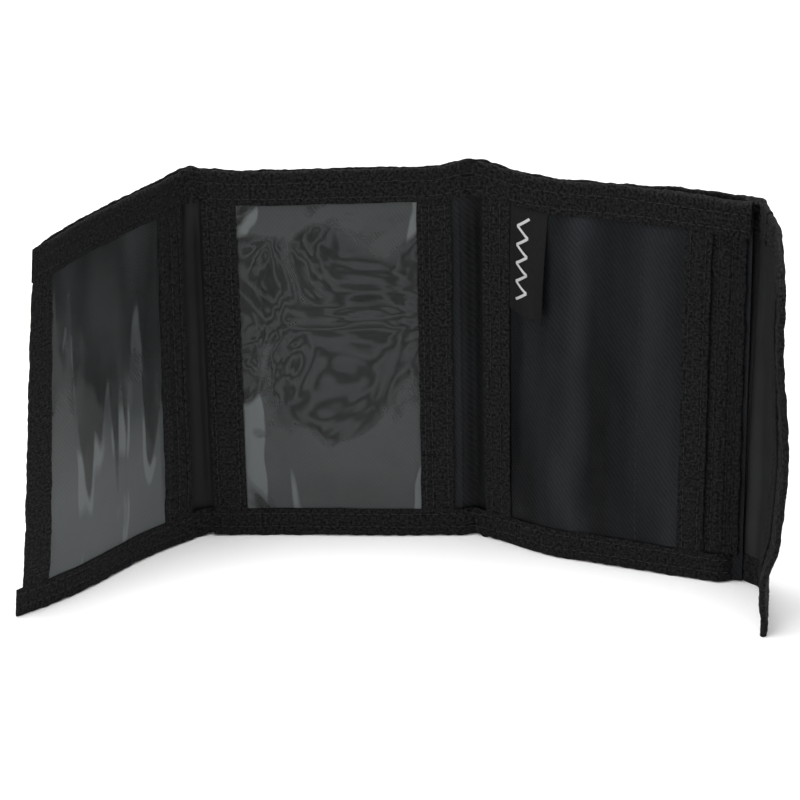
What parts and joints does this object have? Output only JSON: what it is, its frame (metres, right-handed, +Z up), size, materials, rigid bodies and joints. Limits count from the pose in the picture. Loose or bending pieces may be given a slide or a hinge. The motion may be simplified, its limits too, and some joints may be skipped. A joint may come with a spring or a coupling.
{
  "type": "trifold wallet",
  "caption": "Soft nylon trifold wallet with a note compartment, clear windows, side-opening card pockets, bound edges and a hook-and-loop closing flap.",
  "frame": {"origin": "underside of the centre panel's bottom binding, at mid-width and mid-thickness, on the plane that the wallet stands on", "axes": "+X from the left panel towards the right panel along the centre panel, +Y out of the wallet's back, +Z up towards the top edges; the inside of the wallet faces -Y"},
  "size_m": [0.2259, 0.0722, 0.125],
  "materials": {
    "shell_nylon": "woven nylon with a coated back",
    "pocket_twill": "fine twill nylon with a slight sheen",
    "smooth_lining": "smooth coated nylon, satin",
    "binding_tape": "matt ribbed binding tape",
    "clear_window": "clear soft vinyl sheet, glossy",
    "label_weave": null,
    "hook_and_loop": "hook and loop tape, matt"
  },
  "bodies": {
    "centre_panel": {"back_top_binding_centre": "binding_tape", "back_top_binding_fold_left": "binding_tape", "back_top_binding_fold_right": "binding_tape", "bottom_binding_centre": "binding_tape", "bottom_binding_fold_left": "binding_tape", "bottom_binding_fold_right": "binding_tape", "closure_hook_strip": "hook_and_loop", "front_top_binding_centre": "binding_tape", "front_top_binding_fold_left": "binding_tape", "front_top_binding_fold_right": "binding_tape", "lining_centre": "smooth_lining", "lining_fold_left": "smooth_lining", "lining_fold_right": "smooth_lining", "outer_shell_centre": "shell_nylon", "shell_fold_left": "shell_nylon", "shell_fold_right": "shell_nylon", "slip_pocket_centre": "pocket_twill", "window_centre": "clear_window", "window_fold_tape_centre": "binding_tape", "window_mouth_tape_centre": "binding_tape"},
    "left_panel": {"back_top_binding_left": "binding_tape", "bottom_binding_left": "binding_tape", "edge_binding_left": "binding_tape", "front_top_binding_left": "binding_tape", "lining_left": "smooth_lining", "outer_shell_left": "shell_nylon", "window_left": "clear_window", "window_mouth_tape_left": "binding_tape"},
    "right_panel": {"back_top_binding_right": "binding_tape", "bottom_binding_fold_flap_side": "binding_tape", "bottom_binding_right": "binding_tape", "card_pocket_back": "pocket_twill", "card_pocket_front": "pocket_twill", "front_top_binding_right": "binding_tape", "lining_fold_flap_side": "smooth_lining", "lining_right": "smooth_lining", "outer_shell_right": "shell_nylon", "pocket_fold_tape": "binding_tape", "pocket_tape_back": "binding_tape", "pocket_tape_front": "binding_tape", "shell_fold_flap_side": "shell_nylon", "top_binding_fold_flap_side": "binding_tape", "woven_label": "label_weave"},
    "flap_side": {"bottom_binding_flap_side": "binding_tape", "bottom_binding_fold_flap_tip": "binding_tape", "lining_flap_side": "smooth_lining", "lining_fold_flap_tip": "smooth_lining", "outer_shell_flap_side": "shell_nylon", "shell_fold_flap_tip": "shell_nylon", "top_binding_flap_side": "binding_tape", "top_binding_fold_flap_tip": "binding_tape"},
    "flap_tip": {"bottom_binding_flap_tip": "binding_tape", "closure_loop_strip": "hook_and_loop", "edge_binding_flap_tip": "binding_tape", "lining_flap_tip": "smooth_lining", "outer_shell_flap_tip": "shell_nylon", "top_binding_flap_tip": "binding_tape"}
  },
  "joints": [
    {"name": "left_fold", "type": "hinge", "parent": "centre_panel", "child": "left_panel", "pos_m": [-0.0425, -0.0032, 0.0625], "axis": [0, 0, 1], "range_deg": [-52.5, 125.5], "deforming": ["back_top_binding_fold_left", "bottom_binding_fold_left", "front_top_binding_fold_left", "lining_fold_left", "shell_fold_left"]},
    {"name": "right_fold", "type": "hinge", "parent": "centre_panel", "child": "right_panel", "pos_m": [0.0425, -0.0062, 0.0625], "axis": [0, 0, -1], "range_deg": [-19, 128], "deforming": ["back_top_binding_fold_right", "bottom_binding_fold_right", "front_top_binding_fold_right", "lining_fold_right", "shell_fold_right"]},
    {"name": "flap_fold", "type": "hinge", "parent": "right_panel", "child": "flap_side", "pos_m": [0.12937, -0.02881, 0.0625], "axis": [0, 0, -1], "range_deg": [-60, 30], "deforming": ["bottom_binding_fold_flap_side", "lining_fold_flap_side", "shell_fold_flap_side", "top_binding_fold_flap_side"]},
    {"name": "flap_tip_fold", "type": "hinge", "parent": "flap_side", "child": "flap_tip", "pos_m": [0.13261, -0.0455, 0.0625], "axis": [0, 0, -1], "range_deg": [-12.5, 77.5], "deforming": ["bottom_binding_fold_flap_tip", "lining_fold_flap_tip", "shell_fold_flap_tip", "top_binding_fold_flap_tip"]}
  ]
}
